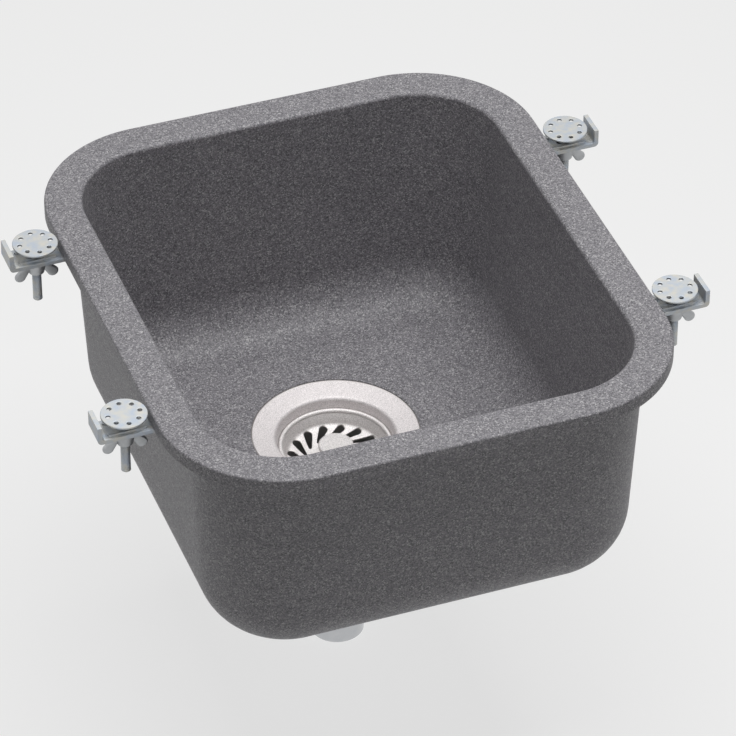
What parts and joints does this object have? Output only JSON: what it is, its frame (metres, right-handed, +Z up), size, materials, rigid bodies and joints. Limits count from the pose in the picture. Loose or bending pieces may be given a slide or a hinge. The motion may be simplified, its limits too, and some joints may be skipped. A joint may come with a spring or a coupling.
{
  "type": "bar sink",
  "caption": "Undermount bar sink: rectangular cast bowl with rounded corners and rim flange, basket strainer with lift-out basket, drain tailpiece and under-counter clips.",
  "frame": {"origin": "centre of the bowl's opening, in the plane of the rim's top face", "axes": "+Z up out of the bowl, +X to the right across the short side, +Y to the back along the long side"},
  "size_m": [0.4158, 0.3938, 0.3402],
  "materials": {
    "granite_composite": "matte",
    "stainless_satin": "satin",
    "chromed_brass": "polished",
    "cast_zinc": "satin",
    "zinc_plated_steel": "satin",
    "brass": "satin",
    "rubber_black": "matte",
    "fibre": "matte",
    "nylon_white": "satin",
    "putty": "matte"
  },
  "bodies": {
    "sink": {"bowl": "granite_composite", "flange_putty": "putty", "strainer_body": "stainless_satin", "strainer_crossbar": "stainless_satin", "stem_bush": "nylon_white", "rubber_gasket": "rubber_black", "friction_washer": "fibre", "locknut": "cast_zinc", "tailpiece_washer": "nylon_white", "coupling_nut": "chromed_brass", "tailpiece": "chromed_brass", "stud_front_left": "zinc_plated_steel", "stud_front_right": "zinc_plated_steel", "stud_back_left": "zinc_plated_steel", "stud_back_right": "zinc_plated_steel"},
    "stopper": {"stopper": "rubber_black", "stopper_washer": "stainless_satin"},
    "basket": {"basket": "stainless_satin", "basket_knob": "stainless_satin", "basket_stem": "stainless_satin", "stem_nut": "brass"},
    "clip_washer_front_left": {"clip_washer_front_left": "zinc_plated_steel"},
    "clip_front_left": {"clip_front_left": "zinc_plated_steel"},
    "wing_nut_front_left": {"wing_nut_front_left": "zinc_plated_steel"},
    "clip_washer_front_right": {"clip_washer_front_right": "zinc_plated_steel"},
    "clip_front_right": {"clip_front_right": "zinc_plated_steel"},
    "wing_nut_front_right": {"wing_nut_front_right": "zinc_plated_steel"},
    "clip_washer_back_left": {"clip_washer_back_left": "zinc_plated_steel"},
    "clip_back_left": {"clip_back_left": "zinc_plated_steel"},
    "wing_nut_back_left": {"wing_nut_back_left": "zinc_plated_steel"},
    "clip_washer_back_right": {"clip_washer_back_right": "zinc_plated_steel"},
    "clip_back_right": {"clip_back_right": "zinc_plated_steel"},
    "wing_nut_back_right": {"wing_nut_back_right": "zinc_plated_steel"}
  },
  "joints": [
    {"name": "basket_lift", "type": "slide", "parent": "sink", "child": "stopper", "axis": [0, 0, 1], "range_m": [0, 0.12]},
    {"name": "basket_turn", "type": "hinge", "parent": "stopper", "child": "basket", "pos_m": [0, 0.035, -0.1966], "axis": [0, 0, 1], "continuous": true},
    {"name": "clip_drop_front_left", "type": "slide", "parent": "sink", "child": "clip_washer_front_left", "axis": [0, 0, 1], "range_m": [-0.0115, 0]},
    {"name": "clip_swing_front_left", "type": "hinge", "parent": "clip_washer_front_left", "child": "clip_front_left", "pos_m": [-0.1874, -0.095, -0.0138], "axis": [0, 0, 1], "range_deg": [-90, 90]},
    {"name": "wing_nut_turn_front_left", "type": "hinge", "parent": "clip_washer_front_left", "child": "wing_nut_front_left", "pos_m": [-0.1874, -0.095, -0.0138], "axis": [0, 0, 1], "range_deg": [-3262, 0]},
    {"name": "clip_drop_front_right", "type": "slide", "parent": "sink", "child": "clip_washer_front_right", "axis": [0, 0, 1], "range_m": [-0.0115, 0]},
    {"name": "clip_swing_front_right", "type": "hinge", "parent": "clip_washer_front_right", "child": "clip_front_right", "pos_m": [0.1874, -0.095, -0.0138], "axis": [0, 0, 1], "range_deg": [-90, 90]},
    {"name": "wing_nut_turn_front_right", "type": "hinge", "parent": "clip_washer_front_right", "child": "wing_nut_front_right", "pos_m": [0.1874, -0.095, -0.0138], "axis": [0, 0, 1], "range_deg": [-3262, 0]},
    {"name": "clip_drop_back_left", "type": "slide", "parent": "sink", "child": "clip_washer_back_left", "axis": [0, 0, 1], "range_m": [-0.0115, 0]},
    {"name": "clip_swing_back_left", "type": "hinge", "parent": "clip_washer_back_left", "child": "clip_back_left", "pos_m": [-0.1874, 0.095, -0.0138], "axis": [0, 0, 1], "range_deg": [-90, 90]},
    {"name": "wing_nut_turn_back_left", "type": "hinge", "parent": "clip_washer_back_left", "child": "wing_nut_back_left", "pos_m": [-0.1874, 0.095, -0.0138], "axis": [0, 0, 1], "range_deg": [-3262, 0]},
    {"name": "clip_drop_back_right", "type": "slide", "parent": "sink", "child": "clip_washer_back_right", "axis": [0, 0, 1], "range_m": [-0.0115, 0]},
    {"name": "clip_swing_back_right", "type": "hinge", "parent": "clip_washer_back_right", "child": "clip_back_right", "pos_m": [0.1874, 0.095, -0.0138], "axis": [0, 0, 1], "range_deg": [-90, 90]},
    {"name": "wing_nut_turn_back_right", "type": "hinge", "parent": "clip_washer_back_right", "child": "wing_nut_back_right", "pos_m": [0.1874, 0.095, -0.0138], "axis": [0, 0, 1], "range_deg": [-3262, 0]}
  ],
  "couplings": [
    {"joint": "wing_nut_turn_front_left", "follows": "clip_drop_front_left", "rad_per_m": 4947.4},
    {"joint": "wing_nut_turn_front_right", "follows": "clip_drop_front_right", "rad_per_m": 4947.4},
    {"joint": "wing_nut_turn_back_left", "follows": "clip_drop_back_left", "rad_per_m": 4947.4},
    {"joint": "wing_nut_turn_back_right", "follows": "clip_drop_back_right", "rad_per_m": 4947.4}
  ]
}
